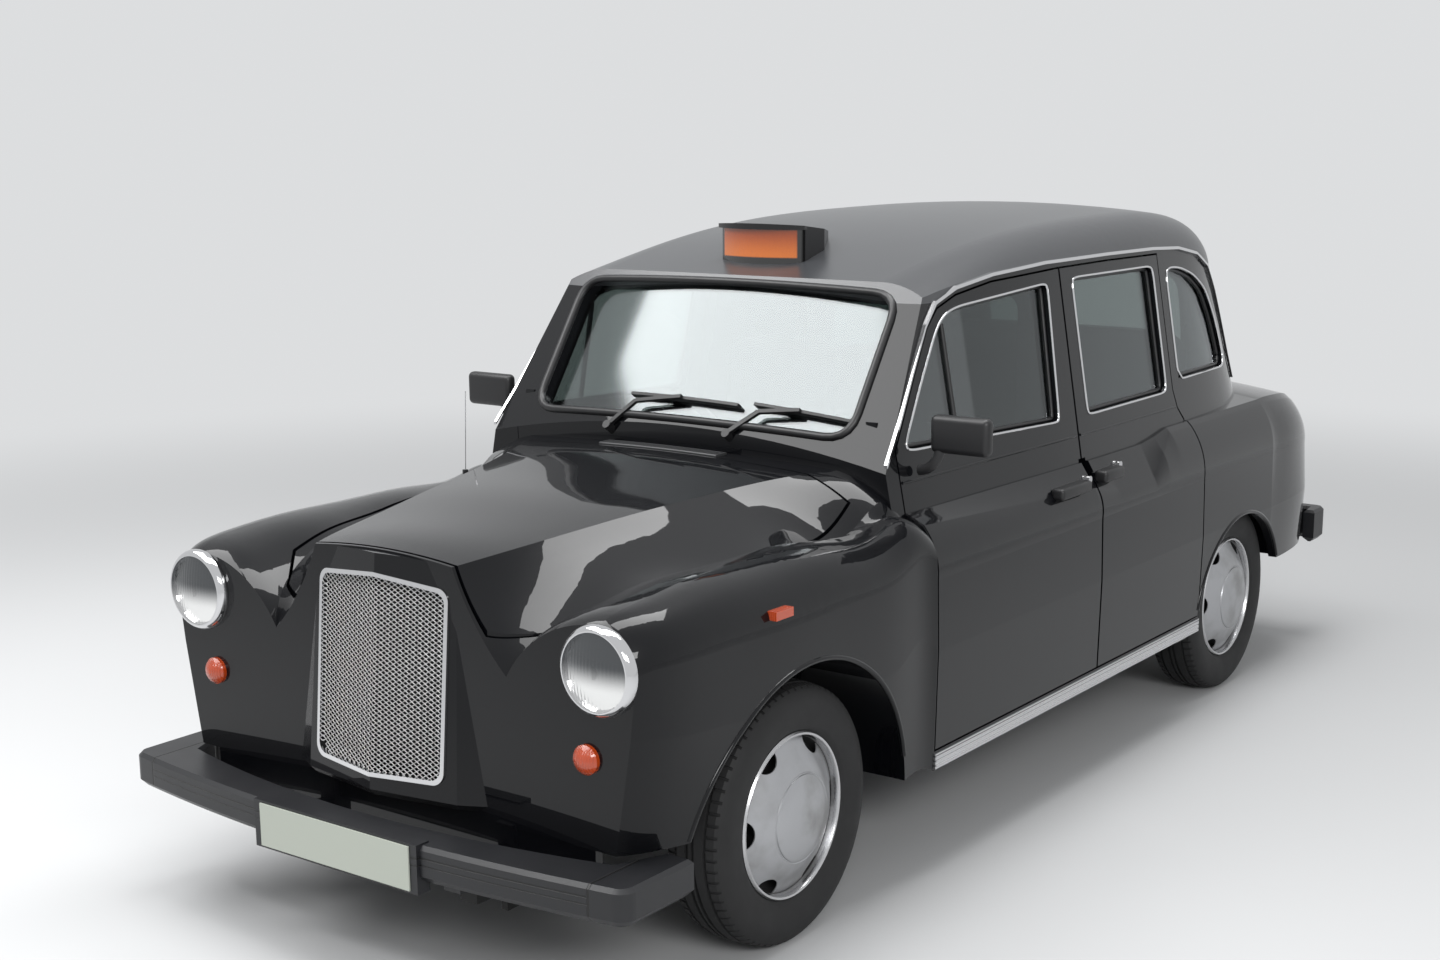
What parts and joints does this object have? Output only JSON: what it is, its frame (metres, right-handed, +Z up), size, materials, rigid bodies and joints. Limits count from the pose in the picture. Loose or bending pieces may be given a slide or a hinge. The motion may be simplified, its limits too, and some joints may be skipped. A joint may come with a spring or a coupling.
{
  "type": "taxi cab",
  "caption": "Purpose-built four-door taxi cab with separate wings, an upright mesh grille, round headlamps, a roof sign and an open-plan cabin",
  "frame": {"origin": "on the ground under the middle of the whole vehicle", "axes": "+Z up, the nose points to -Y, +X is the cab's left"},
  "size_m": [1.896, 4.5798, 1.768],
  "materials": {
    "body_paint": "gloss",
    "roof_paint": "satin",
    "chrome": "polished",
    "grille_steel": "satin",
    "window_glass": "clear",
    "lamp_glass": "ribbed",
    "amber_lens": "translucent",
    "sign_amber": "translucent",
    "red_lens": "translucent",
    "bumper_plastic": "matte",
    "plate_blank": "plain",
    "black_plastic": "satin",
    "sign_plastic": "gloss",
    "seat_vinyl": "grained",
    "floor_paint": "matte",
    "chassis_paint": "satin",
    "cast_metal": "rough",
    "exhaust_steel": "dull",
    "tyre": "matte",
    "wheel_silver": "satin"
  },
  "bodies": {
    "cab_body": {"amber_lenses": "amber_lens", "bright_trim": "chrome", "cabin_frame": "body_paint", "chassis": "chassis_paint", "dashboard": "black_plastic", "driver_seat": "seat_vinyl", "engine_block": "cast_metal", "exhaust": "exhaust_steel", "fixed_glass": "window_glass", "floor_and_bulkhead": "floor_paint", "front_bumper": "bumper_plastic", "front_wings": "body_paint", "fuel_tank": "chassis_paint", "grille_frame": "chrome", "grille_mesh": "grille_steel", "headlamp_lenses": "lamp_glass", "headlamp_rims": "chrome", "nose_panel": "body_paint", "partition": "black_plastic", "plate_front": "plate_blank", "rear_axle": "chassis_paint", "rear_bumper": "bumper_plastic", "rear_quarters": "body_paint", "rear_seats": "seat_vinyl", "roof_panel": "roof_paint", "scuttle_panel": "body_paint", "sign_housing": "sign_plastic", "sign_lens": "sign_amber", "tail_lamps": "red_lens", "tail_panel": "body_paint", "wipers": "black_plastic"},
    "bonnet": {"bonnet": "body_paint"},
    "boot_lid": {"boot_lid": "body_paint", "plate_rear": "plate_blank"},
    "door_front_left": {"door_front_left": "body_paint", "glass_door_front_left": "window_glass", "mirror_left": "black_plastic"},
    "door_front_right": {"door_front_right": "body_paint", "glass_door_front_right": "window_glass", "mirror_right": "black_plastic"},
    "door_rear_left": {"door_rear_left": "body_paint", "glass_door_rear_left": "window_glass"},
    "door_rear_right": {"door_rear_right": "body_paint", "glass_door_rear_right": "window_glass"},
    "knuckle_left": {"knuckle_left": "cast_metal"},
    "knuckle_right": {"knuckle_right": "cast_metal"},
    "steering_wheel": {"steering_wheel": "black_plastic"},
    "wheel_front_left": {"wheel_front_left": "wheel_silver", "tyre_front_left": "tyre"},
    "wheel_front_right": {"wheel_front_right": "wheel_silver", "tyre_front_right": "tyre"},
    "wheel_rear_left": {"wheel_rear_left": "wheel_silver", "tyre_rear_left": "tyre"},
    "wheel_rear_right": {"wheel_rear_right": "wheel_silver", "tyre_rear_right": "tyre"}
  },
  "joints": [
    {"name": "bonnet_hinge", "type": "hinge", "parent": "cab_body", "child": "bonnet", "pos_m": [0, -0.983, 1.15], "axis": [-1, 0, 0], "range_deg": [0, 50]},
    {"name": "boot_lid_hinge", "type": "hinge", "parent": "cab_body", "child": "boot_lid", "pos_m": [0, 1.847, 1.1], "axis": [1, 0, 0], "range_deg": [0, 75]},
    {"name": "door_front_left_hinge", "type": "hinge", "parent": "cab_body", "child": "door_front_left", "pos_m": [0.849, -0.846, 0.9], "axis": [0, 0, -1], "range_deg": [0, 70]},
    {"name": "door_front_right_hinge", "type": "hinge", "parent": "cab_body", "child": "door_front_right", "pos_m": [-0.849, -0.846, 0.9], "axis": [0, 0, 1], "range_deg": [0, 70]},
    {"name": "door_rear_left_hinge", "type": "hinge", "parent": "cab_body", "child": "door_rear_left", "pos_m": [0.849, 0.966, 0.9], "axis": [0, 0, 1], "range_deg": [0, 80]},
    {"name": "door_rear_right_hinge", "type": "hinge", "parent": "cab_body", "child": "door_rear_right", "pos_m": [-0.849, 0.966, 0.9], "axis": [0, 0, -1], "range_deg": [0, 80]},
    {"name": "steering_column", "type": "hinge", "parent": "cab_body", "child": "steering_wheel", "pos_m": [-0.37, -0.4, 1.05], "axis": [0, 0.866, 0.5], "range_deg": [-600, 600]},
    {"name": "kingpin_left", "type": "hinge", "parent": "cab_body", "child": "knuckle_left", "pos_m": [0.66, -1.455, 0.34], "axis": [0, 0, 1], "range_deg": [-40, 40]},
    {"name": "kingpin_right", "type": "hinge", "parent": "cab_body", "child": "knuckle_right", "pos_m": [-0.66, -1.455, 0.34], "axis": [0, 0, 1], "range_deg": [-40, 40]},
    {"name": "wheel_front_left_spin", "type": "hinge", "parent": "knuckle_left", "child": "wheel_front_left", "pos_m": [0.711, -1.455, 0.34], "axis": [1, 0, 0], "continuous": true},
    {"name": "wheel_front_right_spin", "type": "hinge", "parent": "knuckle_right", "child": "wheel_front_right", "pos_m": [-0.711, -1.455, 0.34], "axis": [1, 0, 0], "continuous": true},
    {"name": "wheel_rear_left_spin", "type": "hinge", "parent": "cab_body", "child": "wheel_rear_left", "pos_m": [0.711, 1.355, 0.34], "axis": [1, 0, 0], "continuous": true},
    {"name": "wheel_rear_right_spin", "type": "hinge", "parent": "cab_body", "child": "wheel_rear_right", "pos_m": [-0.711, 1.355, 0.34], "axis": [1, 0, 0], "continuous": true}
  ],
  "couplings": [
    {"joint": "kingpin_left", "follows": "steering_column", "ratio": 0.066667},
    {"joint": "kingpin_right", "follows": "steering_column", "ratio": 0.066667}
  ]
}
